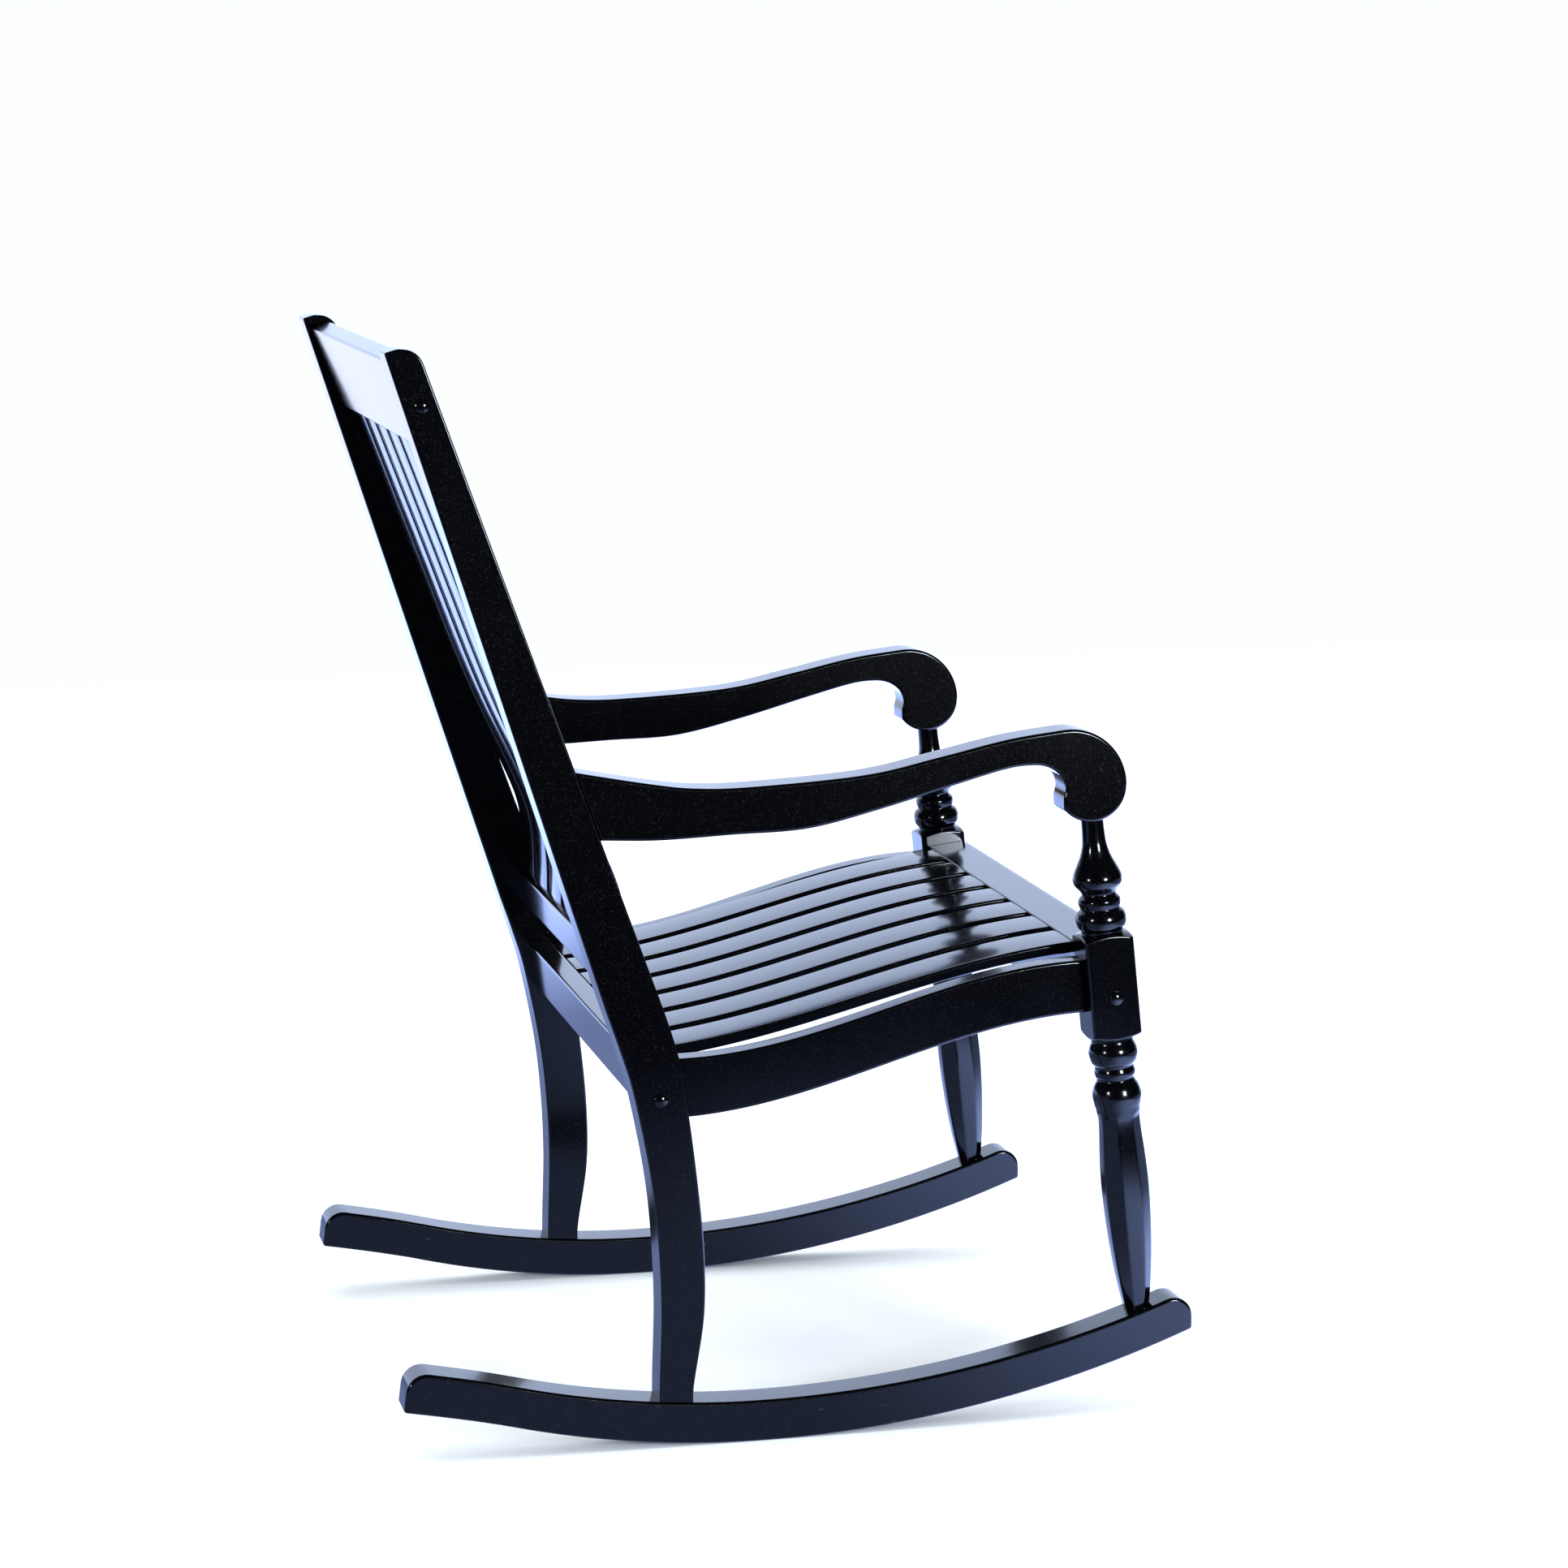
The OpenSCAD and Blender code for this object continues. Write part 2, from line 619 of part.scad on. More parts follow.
function back_slat_x(i) = (i - (back_slats + 1) / 2) * back_pitch;

// Rear face of the back slats, from the lower rail up to the crest
slat_curve = let (p = smooth(bow, 4), chord = slat_head - slat_root)
    [for (q = p) slat_root + q[0] * chord - [q[1] * lumbar, 0]];

module back_slat_tenons(i, grow) {
    w = back_slat_w - 8 + 2 * grow;
    t = back_slat_t - 3 + 2 * grow;
    for (e = [[slat_head, crest_lean, 1], [slat_root, lower_rail_lean, -1]])
        translate([back_slat_x(i), e[0][0], e[0][1]]) rotate([-e[1], 0, 0])
            translate([-w / 2, -back_slat_t + 1.5 - grow,
                       e[2] > 0 ? -3 : -slat_tenon_l - grow])
                cube([w, t, slat_tenon_l + 3 + grow]);
}

module back_slat(i) {
    n = len(slat_curve) - 1;
    head_front = slat_head + back_slat_t * fwd(crest_lean);
    root_front = slat_root + back_slat_t * fwd(lower_rail_lean);
    color(lacquer) {
        slab(back_slat_x(i), back_slat_w) polygon(concat(slat_curve,
            [for (k = [n:-1:0]) let (f = k / n)
                slat_curve[k] + (1 - f) * (root_front - slat_root)
                + f * (head_front - slat_head)]));
        back_slat_tenons(i, 0);
    }
}

// ---- Dowels ----

module both_sides() {
    children();
    mirror([1, 0, 0]) children();
}

module foot_dowels() {
    color(bare_wood) both_sides() for (y = leg_dowel_y)
        translate([-frame_x, y, rocker_top(y) - dowel_in])
            cylinder(d = dowel_d, h = 2 * dowel_in);
}

// Dowels from the arm's root into the post, square to the post's front edge
module arm_dowel_places() {
    for (f = arm_dowel_at) let (z = root_top_z - f * arm_root_h)
        translate([-frame_x, front_edge(z), z]) rotate([90 - front_edge_lean, 0, 0]) children();
}
module arm_dowel(grow) {
    translate([0, 0, -dowel_in - 10 * grow]) cylinder(d = dowel_d + 2 * grow,
                                                      h = 2 * dowel_in + 20 * grow);
}
module arm_dowels() { color(bare_wood) both_sides() arm_dowel_places() arm_dowel(0); }

// Dowels along Y at the ends of a side rail: rear end, or front end
module side_rail_dowel_places(rear) {
    z0 = rear ? seat_h - seat_dip - 26 : seat_h - 20;
    y = rear ? back_y - 2 : front_y + block_w / 2 + 1;
    for (k = [0, 1]) translate([-side_rail_x, y, z0 - k * 26])
        rotate([rear ? -90 : 90, 0, 0]) children();
}
module side_rail_dowel(grow) {
    translate([0, 0, -rail_dowel_rail - 10 * grow])
        cylinder(d = dowel_d + 2 * grow, h = rail_dowel_rail + rail_dowel_post + 20 * grow);
}
module side_rail_dowels() {
    color(bare_wood) both_sides() {
        side_rail_dowel_places(true) side_rail_dowel(0);
        side_rail_dowel_places(false) side_rail_dowel(0);
    }
}

// Dowels along X in the ends of the cross rails
module cross_rail_dowel_places() {
    lower_mid = lower_corner + lower_rail_t / 2 * fwd(lower_rail_lean);
    for (p = [crest_bolt + 26 * up(crest_lean), crest_bolt - 26 * up(crest_lean),
              lower_mid - (slat_tenon_l + 5.5) * up(lower_rail_lean),
              lower_mid - (lower_rail_h - 8) * up(lower_rail_lean),
              rear_bolt + 17 * up(rear_rail_lean) - 2.5 * fwd(rear_rail_lean)])
        translate([-inner_x, p[0], p[1]]) rotate([0, 90, 0]) children();
    translate([-block_in_x, front_bolt[0], front_bolt[1] - 18]) rotate([0, 90, 0]) children();
}
module cross_rail_dowel(grow) {
    translate([0, 0, -dowel_in - 5 * grow])
        cylinder(d = rail_dowel_d + 2 * grow, h = 2 * dowel_in + 10 * grow);
}
module cross_rail_dowels() {
    color(bare_wood) both_sides() cross_rail_dowel_places() cross_rail_dowel(0);
}

// ---- Bolts, inserts, caps and screws ----

// Hole through a post of outer face x_out for a bolt at p, with its counterbore
module bolt_hole(p, x_out) {
    x_rod(-x_out - 1, p, cap_stem_d + 2 * clearance, cap_bore + 1);
    x_rod(-x_out, p, bolt_d + 2 * clearance, block_w + 10);
}

module insert_hole(p, x_in) {
    x_rod(-x_in - 1, p, insert_d + 2 * clearance, insert_l + 1 + clearance);
    x_rod(-x_in, p, bolt_d + 2 * clearance, bolt_grip + 3);
}

module frame_bolts() {
    color(zinc) both_sides() for (b = bolts) let (
        x_out = b[1],
        x_in = b[1] > half_w ? block_in_x : inner_x,
        under_head = -x_out + cap_bore) {
        difference() {
            x_rod(under_head - bolt_head_h, b[0], bolt_head_d, bolt_head_h);
            translate([under_head - bolt_head_h - 1, b[0][0], b[0][1]])
                rotate([0, 90, 0]) cylinder(d = bolt_head_d * 0.55, h = bolt_head_h * 0.6, $fn = 6);
        }
        x_rod(under_head - 0.01, b[0], bolt_d - 0.2, -x_in + bolt_grip - under_head);
    }
}

module threaded_inserts() {
    color(zinc) both_sides() for (b = bolts) let (
        x_in = b[1] > half_w ? block_in_x : inner_x)
        difference() {
            x_rod(-x_in + 0.2, b[0], insert_d, insert_l - 0.2);
            x_rod(-x_in - 1, b[0], bolt_d, insert_l + 2);
        }
}

module button_caps() {
    color(lacquer) both_sides() for (b = bolts)
        translate([-b[1], b[0][0], b[0][1]]) rotate([0, -90, 0]) {
            dome = (cap_d * cap_d / 4 + cap_h * cap_h) / (2 * cap_h);
            rotate_extrude() polygon(concat([[0, 0], [cap_d / 2, 0]],
                arc([0, cap_h - dome], dome, asin((dome - cap_h) / dome), 90, 8)));
            translate([0, 0, -5]) cylinder(d = cap_stem_d, h = 5.01);
        }
}

// A screw driven upwards, its head at the bottom, with the tip at z = length
module screw(l) {
    cylinder(d1 = 2 * screw_d, d2 = screw_d, h = screw_d / 2);
    cylinder(d = screw_d, h = l - screw_d);
    translate([0, 0, l - screw_d - 0.01]) cylinder(d1 = screw_d, d2 = 0.6, h = screw_d);
}
module screw_hole(l, bore) {
    translate([0, 0, -bore]) cylinder(d = 2 * screw_d + 2 * clearance, h = bore + 2.2 + clearance);
    cylinder(d = screw_d + 2 * clearance, h = l + 0.5);
}

module board_screw_place(x) {
    y = front_rail_y + seat_rail_t / 2;
    translate([x, y, board_top(y) - board_t - board_screw_l + 13]) children();
}
module board_screws() {
    color(zinc) for (x = board_screw_x) board_screw_place(x) screw(board_screw_l);
}

// ---- Pieces ----

right_rocker();
left_rocker();
right_back_post();
left_back_post();
right_front_post();
left_front_post();
right_arm();
left_arm();
right_side_rail();
left_side_rail();
front_seat_rail();
front_seat_board();
rear_seat_rail();
crest_rail();
lower_back_rail();
for (i = [1:seat_slats])
    seat_slat(i);
for (i = [1:back_slats])
    back_slat(i);
foot_dowels();
arm_dowels();
side_rail_dowels();
cross_rail_dowels();
frame_bolts();
threaded_inserts();
button_caps();
board_screws();
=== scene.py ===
import math

import bmesh
import bpy
from mathutils import Matrix, Vector


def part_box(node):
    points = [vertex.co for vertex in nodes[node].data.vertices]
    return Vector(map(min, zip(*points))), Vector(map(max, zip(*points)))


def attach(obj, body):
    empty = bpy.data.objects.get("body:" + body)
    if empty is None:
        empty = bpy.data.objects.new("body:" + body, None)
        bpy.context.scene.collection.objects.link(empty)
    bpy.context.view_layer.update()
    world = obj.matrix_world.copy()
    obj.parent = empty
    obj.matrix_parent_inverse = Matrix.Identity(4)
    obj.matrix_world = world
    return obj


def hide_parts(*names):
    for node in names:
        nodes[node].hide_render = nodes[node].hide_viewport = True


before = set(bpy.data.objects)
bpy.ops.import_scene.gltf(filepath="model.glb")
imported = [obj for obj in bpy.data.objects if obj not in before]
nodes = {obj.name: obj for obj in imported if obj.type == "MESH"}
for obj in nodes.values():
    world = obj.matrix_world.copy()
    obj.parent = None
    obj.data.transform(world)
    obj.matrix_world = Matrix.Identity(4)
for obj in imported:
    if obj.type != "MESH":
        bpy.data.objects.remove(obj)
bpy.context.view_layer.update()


# ---- Rockers ----
# Two rockers sawn to a curve from 40 mm hardwood, with every arris eased by
# hand, then sanded and sprayed with black lacquer until it is glossy. The grain
# runs along the rocker and still shows faintly through the lacquer.

class Wire:
    """One output of a node, which adds, subtracts and multiplies as a number."""

    def __init__(self, bench, socket):
        self.bench, self.socket = bench, socket

    def _math(self, operation, a, b):
        made = self.bench.node("ShaderNodeMath", {"operation": operation}, {0: a, 1: b})
        return made["Value"]

    def __add__(self, other):
        return self._math("ADD", self, other)

    __radd__ = __add__

    def __sub__(self, other):
        return self._math("SUBTRACT", self, other)

    def __rsub__(self, other):
        return self._math("SUBTRACT", other, self)

    def __mul__(self, other):
        return self._math("MULTIPLY", self, other)

    __rmul__ = __mul__


class Bench:
    """Puts nodes into one tree: a finish, the studio's light or a run of slats."""

    def __init__(self, tree):
        self.tree = tree

    def node(self, kind, settings=None, sockets=None):
        made = self.tree.nodes.new(kind)
        for key, value in (settings or {}).items():
            if key == "stops":
                ramp = made.color_ramp
                while len(ramp.elements) < len(value):
                    ramp.elements.new(0.5)
                for element, (place, colour) in zip(ramp.elements, value):
                    element.position, element.color = place, colour
            else:
                setattr(made, key, value)
        for key, value in (sockets or {}).items():
            if isinstance(value, Wire):
                self.tree.links.new(value.socket, made.inputs[key])
            else:
                made.inputs[key].default_value = value
        return Outputs(self, made)


class Outputs:
    """A made node, whose outputs are picked by name or number."""

    def __init__(self, bench, made):
        self.bench, self.made = bench, made

    def __getitem__(self, key):
        return Wire(self.bench, self.made.outputs[key])


MIX_A, MIX_B, MIX_COLOUR = 6, 7, 2      # the colour sockets of a Mix node


def ease(wire, low, high):
    """0 below low, 1 above high, smooth between."""
    made = wire.bench.node("ShaderNodeMapRange", {"interpolation_type": "SMOOTHSTEP"},
                           {"Value": wire, "From Min": low, "From Max": high})
    return made["Result"]


LACQUER_BLACK = (0.0006, 0.0006, 0.0011, 1)
LACQUER_HAZE = (0.020, 0.021, 0.027, 1)
GRAIN_STRETCH = 14            # how much longer than wide the grain's figure is
LACQUER_ROUGH = 0.13
RIPPLE = 0.0006               # height of a full step in the surface's relief


def empty_finish(name):
    """A new material and the bench that its nodes are put together on."""
    finish = bpy.data.materials.new(name)
    finish.use_nodes = True
    finish.node_tree.nodes.clear()
    return finish, Bench(finish.node_tree)


def black_lacquer(name, along, scuffs=0.0):
    """Gloss black lacquer over wood whose grain runs along the vector along."""
    finish, bench = empty_finish(name)
    place = bench.node("ShaderNodeTexCoord")["Object"]
    turn = Vector(along).normalized().rotation_difference(Vector((1, 0, 0))).to_euler()
    laid = bench.node("ShaderNodeMapping", {"vector_type": "POINT"},
                      {"Vector": place, "Rotation": turn,
                       "Scale": (1, GRAIN_STRETCH, GRAIN_STRETCH)})["Vector"]

    def noise(at, scale, detail=2.0, rough=0.5):
        made = bench.node("ShaderNodeTexNoise", None, {"Vector": at, "Scale": scale,
                          "Detail": detail, "Roughness": rough})
        return made["Fac"]

    grain = noise(laid, 22, 3, 0.6)
    plane_waves = noise(laid, 2.2, 1)
    peel = noise(place, 360, 1)
    smudge = ease(noise(place, 5.5, 4, 0.6), 0.46, 0.78)
    dust = ease(noise(place, 900, 0), 0.735, 0.76)
    height = plane_waves * 0.006 + grain * 0.0006 + peel * 0.0008 + dust * 0.002
    marks = dust * 0.35
    if scuffs:
        long_way = bench.node("ShaderNodeMapping", None,
                              {"Vector": place, "Rotation": (0.5, 0.1, 0.3),
                               "Scale": (30, 60, 260)})["Vector"]
        scratch = ease(noise(long_way, 1.0, 1), 0.74, 0.78) * ease(noise(place, 12, 1), 0.5, 0.66)
        height = height - scratch * 0.02
        marks = marks + scratch * scuffs
    colour = bench.node("ShaderNodeMix", {"data_type": "RGBA"},
                        {"Factor": marks, MIX_A: LACQUER_BLACK, MIX_B: LACQUER_HAZE})[MIX_COLOUR]
    bump = bench.node("ShaderNodeBump", None,
                      {"Strength": 1.0, "Distance": RIPPLE, "Height": height})["Normal"]
    shader = bench.node("ShaderNodeBsdfPrincipled", None, {
        "Base Color": colour,
        "Roughness": LACQUER_ROUGH + smudge * 0.03 + marks * 0.25,
        "IOR": 1.42, "Specular IOR Level": 0.5,
        "Coat Weight": 0.10, "Coat Roughness": 0.03, "Coat IOR": 1.45,
        "Normal": bump})["BSDF"]
    bench.node("ShaderNodeOutputMaterial", None, {"Surface": shader})
    return finish


def side_outline(node, x):
    """The outline (y, z) of a node's flat face in the plane at x, as one loop."""
    copy = bmesh.new()
    copy.from_mesh(nodes[node].data)
    bmesh.ops.remove_doubles(copy, verts=copy.verts, dist=2e-6)
    flat = {f for f in copy.faces if all(abs(v.co.x - x) < 2e-5 for v in f.verts)}
    rim = {}
    for f in flat:
        for loop in f.loops:
            if sum(g in flat for g in loop.edge.link_faces) == 1:
                rim[loop.vert.index] = loop.link_loop_next.vert.index
    copy.verts.ensure_lookup_table()
    runs = []
    while rim:
        first = next(iter(rim))
        run, at = [], first
        while at in rim:
            run.append(copy.verts[at].co.yz.copy())
            at = rim.pop(at)
        runs.append(run)
    copy.free()
    run = max(runs, key=lambda r: sum((a - b).length for a, b in zip(r, r[1:] + r[:1])))
    area = sum(a.x * b.y - b.x * a.y for a, b in zip(run, run[1:] + run[:1]))
    return run if area > 0 else run[::-1]


def soften(run, corner_r=0.0008, step=0.004, sharp=math.radians(24)):
    """Runs smooth curves through an outline's points and rounds its corners."""
    thin = [p for p, q in zip(run, run[1:] + run[:1]) if (p - q).length > 2e-5]
    n = len(thin)
    lengths = [(thin[(i + 1) % n] - thin[i]).length for i in range(n)]
    ways = [(thin[(i + 1) % n] - thin[i]) / lengths[i] for i in range(n)]
    turns = [ways[i - 1].angle(ways[i], 0) for i in range(n)]
    corner = [t > sharp for t in turns]

    def tangent(i, leaving):
        before, after = lengths[i - 1], lengths[i]
        if corner[i]:
            return ways[i] if leaving else ways[i - 1]
        if before > 2.5 * after:
            return ways[i - 1]
        if after > 2.5 * before:
            return ways[i]
        return (ways[i] * before + ways[i - 1] * after).normalized()

    out = []
    for i in range(n):
        a, b, l = thin[i], thin[(i + 1) % n], lengths[i]
        ta, tb = tangent(i, True) * l, tangent((i + 1) % n, False) * l
        cut_a = min(corner_r * math.tan(turns[i] / 2), 0.45 * l) / l if corner[i] else 0
        j = (i + 1) % n
        cut_b = min(corner_r * math.tan(turns[j] / 2), 0.45 * l) / l if corner[j] else 0
        straight = turns[i] < 1e-4 and turns[j] < 1e-4
        parts = 1 if straight else max(1, min(12, round(l / step)))
        for k in range(parts + 1):
            t = cut_a + (1 - cut_a - cut_b) * k / parts
            if k == parts and not corner[j]:
                break
            h1, h2 = 2 * t**3 - 3 * t**2 + 1, t**3 - 2 * t**2 + t
            h3, h4 = 3 * t**2 - 2 * t**3, t**3 - t**2
            out.append((a * h1 + ta * h2 + b * h3 + tb * h4, corner[j] and k == parts, j))
    full = []
    for m, (p, at_corner, j) in enumerate(out):
        full.append(p)
        if at_corner:
            q = out[(m + 1) % len(out)][0]
            for k in range(1, 5):
                t = k / 5
                full.append(p * (1 - t)**2 + thin[j] * 2 * t * (1 - t) + q * t**2)
    return full


def inset(run, d):
    """The outline moved inwards by d, without the edges that would turn over."""
    n = len(run)
    ways = [(run[(i + 1) % n] - run[i]).normalized() for i in range(n)]
    sides = [Vector((-w.y, w.x)) for w in ways]

    def meeting(i, j):
        if (i + 1) % n == j:
            return run[j] + (sides[i] + sides[j]) * (d / max(1 + sides[i].dot(sides[j]), 0.2))
        p, q = run[(i + 1) % n] + sides[i] * d, run[j] + sides[j] * d
        cross = ways[i].cross(ways[j])
        return p + ways[i] * ((q - p).cross(ways[j]) / cross) if abs(cross) > 0.02 else (p + q) / 2

    kept = list(range(n))
    while True:
        spots = {b: meeting(a, b) for a, b in zip(kept[-1:] + kept[:-1], kept)}
        turned = {a for a, b in zip(kept, kept[1:] + kept[:1])
                  if (spots[b] - spots[a]).dot(ways[a]) < 0}
        if not turned:
            break
        kept = [i for i in kept if i not in turned]
    out, spot = [], spots[kept[0]]
    for i in reversed(range(n)):
        spot = spots.get(i, spot)
        out.append(spot)
    return out[::-1]


ARRIS_STEPS = 5               # rings of faces round an arris
CROWN_ROWS = 10               # rows of faces across a crowned board


def board_mesh(name, run, x0, x1, arris, crown=0.0):
    """A board with the outline run, from x0 to x1, its arrises rounded.

    A crowned board is that much thinner on each face at its long edges."""
    made = bmesh.new()
    rings = []
    for k in range(ARRIS_STEPS + 1):
        turn = math.pi / 2 * k / ARRIS_STEPS
        rings.append((x0 + arris * (1 - math.cos(turn)), arris * (1 - math.sin(turn))))
    far = [(x0 + x1 - x, d) for x, d in reversed(rings)]
    rows = CROWN_ROWS if crown else 1
    mid = [(rings[-1][0] + (far[0][0] - rings[-1][0]) * k / rows, 0) for k in range(1, rows)]
    loops = []
    for x, d in rings + mid + far:
        d += crown * (2 * (x - x0) / (x1 - x0) - 1)**2
        loops.append([made.verts.new((x, p.x, p.y)) for p in (inset(run, d) if d else run)])
    for a, b in zip(loops, loops[1:]):
        for i in range(len(a)):
            j = (i + 1) % len(a)
            made.faces.new((a[i], b[i], b[j], a[j]))
    made.faces.new(loops[0])
    made.faces.new(loops[-1][::-1])
    bmesh.ops.remove_doubles(made, verts=made.verts, dist=5e-6)
    bmesh.ops.recalc_face_normals(made, faces=made.faces)
    return finished(name, made)


def finished(name, made):
    """Turns a bmesh into a linked object with smooth faces."""
    for f in made.faces:
        f.smooth = True
    mesh = bpy.data.meshes.new(name)
    made.to_mesh(mesh)
    made.free()
    piece = bpy.data.objects.new(name, mesh)
    bpy.context.scene.collection.objects.link(piece)
    return piece


def baked(piece):
    """Applies what modifiers a piece has, and weighs its normals by face area."""
    weigh = piece.modifiers.new("weigh", "WEIGHTED_NORMAL")
    weigh.mode = "FACE_AREA"
    weigh.weight = 50
    weigh.keep_sharp = False
    seen = piece.evaluated_get(bpy.context.evaluated_depsgraph_get())
    mesh = bpy.data.meshes.new_from_object(seen)
    piece.modifiers.clear()
    piece.data = mesh
    return piece


def place(piece, finish, slot, *replaced):
    """Gives a piece its finish, parents it to the root body and hides the CAD nodes it stands for.
    """
    piece.data.materials.clear()
    piece.data.materials.append(finish)
    for polygon in piece.data.polygons:
        polygon.material_index = 0
    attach(piece, "root")
    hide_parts(*replaced)


def other_side(piece, name):
    """A mirrored copy of a right-hand piece."""
    made = bmesh.new()
    made.from_mesh(piece.data)
    for v in made.verts:
        v.co.x = -v.co.x
    bmesh.ops.reverse_faces(made, faces=made.faces)
    return baked(finished(name, made))


rocker_finish = black_lacquer("lacquer_rockers", (0, 1, 0), scuffs=0.8)
ROCKER_OUT, ROCKER_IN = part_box("right_rocker")[0].x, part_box("right_rocker")[1].x
ROCKER_ARRIS = 0.0032
rocker_run = soften(side_outline("right_rocker", ROCKER_OUT))
rocker_right = baked(board_mesh("rocker_right", rocker_run, ROCKER_OUT, ROCKER_IN, ROCKER_ARRIS))
place(rocker_right, rocker_finish, "black_lacquer", "right_rocker")
place(other_side(rocker_right, "rocker_left"), rocker_finish, "black_lacquer", "left_rocker")


# ---- Back posts ----
# Each leg and back post is one sawn piece, dowelled to its rocker at the foot.
# The long edges lean back above the seat and curve below it.
LEAN_ANGLE = math.radians(18.8)
POST_LEAN = (0, math.sin(LEAN_ANGLE), math.cos(LEAN_ANGLE))
post_finish = black_lacquer("lacquer_back_posts", POST_LEAN)
POST_ARRIS = 0.0020
post_run = soften(side_outline("right_back_post", ROCKER_OUT), corner_r=0.0010)
post_right = baked(board_mesh("back_post_right", post_run, ROCKER_OUT, ROCKER_IN, POST_ARRIS))
place(post_right, post_finish, "black_lacquer", "right_back_post")
place(other_side(post_right, "back_post_left"), post_finish, "black_lacquer", "left_back_post")


# ---- Front posts ----
# Turned from 50 mm square stock: a vase and beads above a square block with
# domed shoulders, then beads, a ball, and a leg cut to eight rounded facets
# that run out under the ball in scallops.
POST_X = -0.295
BLOCK_MIDDLE = (POST_X, -0.302, 0.4225)
FRONT_LEAN = math.radians(6)
BLOCK_HALF = 0.024
BLOCK_TOP = 0.046
DOME_R = 0.070
DOME_INNER_R = 0.018          # where a domed shoulder starts, inside the turned part
BLOCK_ARRIS = 0.0024
ROUND_STEPS = 96
FACETS = 8
DOME_RISE = DOME_R - math.sqrt(DOME_R**2 - 2 * BLOCK_HALF**2)
SHOULDER = BLOCK_TOP + DOME_RISE
SHOULDER_RINGS = 8
ROUNDING_RINGS = 5
SIDE_SHARPNESS = 40           # how crisply a flat of the leg meets the round


def curve_through(points, step=0.0012):
    """Fine points on a smooth curve through given points."""
    points = [Vector(p) for p in points]
    out = []
    for i in range(len(points) - 1):
        a, b = points[max(i - 1, 0)], points[i]
        c, d = points[i + 1], points[min(i + 2, len(points) - 1)]
        parts = max(2, round((c - b).length / step))
        for k in range(parts):
            t = k / parts
            out.append(0.5 * (2 * b + (c - a) * t + (2 * a - 5 * b + 4 * c - d) * t**2
                              + (3 * b - a - 3 * c + d) * t**3))
    return out + [points[-1]]


def lathe(made, rings):
    """Joins rings of points, each ROUND_STEPS long, and closes both ends."""
    loops = [[made.verts.new(p) for p in ring] for ring in rings]
    for a, b in zip(loops, loops[1:]):
        for i in range(ROUND_STEPS):
            j = (i + 1) % ROUND_STEPS
            made.faces.new((a[i], a[j], b[j], b[i]))
    made.faces.new(loops[0][::-1])
    made.faces.new(loops[-1])


def ring(radius_at, z_at):
    out = []
    for i in range(ROUND_STEPS):
        turn = 2 * math.pi * i / ROUND_STEPS
        r = radius_at(turn)
        out.append((r * math.cos(turn), r * math.sin(turn), z_at(turn, r)))
    return out


def block_rim(turn):
    """Distance from the axis to the block's side, with its four arrises rounded."""
    c, s = abs(math.cos(turn)), abs(math.sin(turn))
    half, r = BLOCK_HALF, BLOCK_ARRIS
    reach = half / max(c, s)
    if min(c, s) * reach > half - r:
        m = half - r
        along = m * (c + s)
        reach = along + math.sqrt(max(along**2 - 2 * m * m + r * r, 0))
    return reach


def dome(r):
    return BLOCK_TOP + DOME_RISE - DOME_R + math.sqrt(DOME_R**2 - r * r)


UPPER = [(0.0202, SHOULDER - 0.005), (0.0202, SHOULDER - 0.0005), (0.0230, SHOULDER + 0.003),
         (0.0244, SHOULDER + 0.010), (0.0226, SHOULDER + 0.0165), (0.0190, SHOULDER + 0.0200),
         (0.0202, SHOULDER + 0.0245), (0.0200, SHOULDER + 0.0295), (0.0163, SHOULDER + 0.0342),
         (0.0183, SHOULDER + 0.0385), (0.0224, SHOULDER + 0.0435), (0.0238, SHOULDER + 0.049),
         (0.0227, SHOULDER + 0.0545), (0.0190, SHOULDER + 0.0625), (0.0150, SHOULDER + 0.071),
         (0.0120, SHOULDER + 0.082), (0.0110, SHOULDER + 0.095), (0.0107, 0.166)]
BALL = -SHOULDER - 0.054
ANKLE = BALL - 0.021
FOOT = -0.333
LOWER = [(0.0202, -SHOULDER + 0.005), (0.0202, -SHOULDER - 0.0005), (0.0230, -SHOULDER - 0.0075),
         (0.0236, -SHOULDER - 0.0135), (0.0218, -SHOULDER - 0.021), (0.0188, -SHOULDER - 0.0255),
         (0.0198, -SHOULDER - 0.0305), (0.0194, -SHOULDER - 0.0345),
         (0.0180, -SHOULDER - 0.0385), (0.0220, BALL + 0.008), (0.0238, BALL),
         (0.0230, BALL - 0.007), (0.0216, BALL - 0.013), (0.0206, ANKLE)]
LEG_SHAPE = [(0, 0.0206), (0.07, 0.0208), (0.20, 0.0226), (0.34, 0.0236), (0.48, 0.0230),
             (0.64, 0.0210), (0.80, 0.0176), (0.93, 0.0134), (1, 0.0106)]
leg_length = ANKLE - FOOT
LEG = [(r, ANKLE - f * leg_length) for f, r in LEG_SHAPE]
SCALLOP = 0.012               # how far the facets run up under the ball


def leg_ring(p):
    """A ring of the leg: round, then cut by eight flats that run out upwards."""
    r, z = p
    flat = math.cos(math.pi / FACETS)
    run_out = max(0.0, (z - (ANKLE - 0.002)) / SCALLOP)
    depth = r * flat * (1 + 0.06 * run_out + 0.30 * run_out**2)

    def radius(turn):
        part = (turn + math.pi / FACETS) % (2 * math.pi / FACETS) - math.pi / FACETS
        cut = depth / math.cos(part)
        return (r**-SIDE_SHARPNESS + cut**-SIDE_SHARPNESS) ** (-1 / SIDE_SHARPNESS)
    return ring(radius, lambda turn, rr: z)


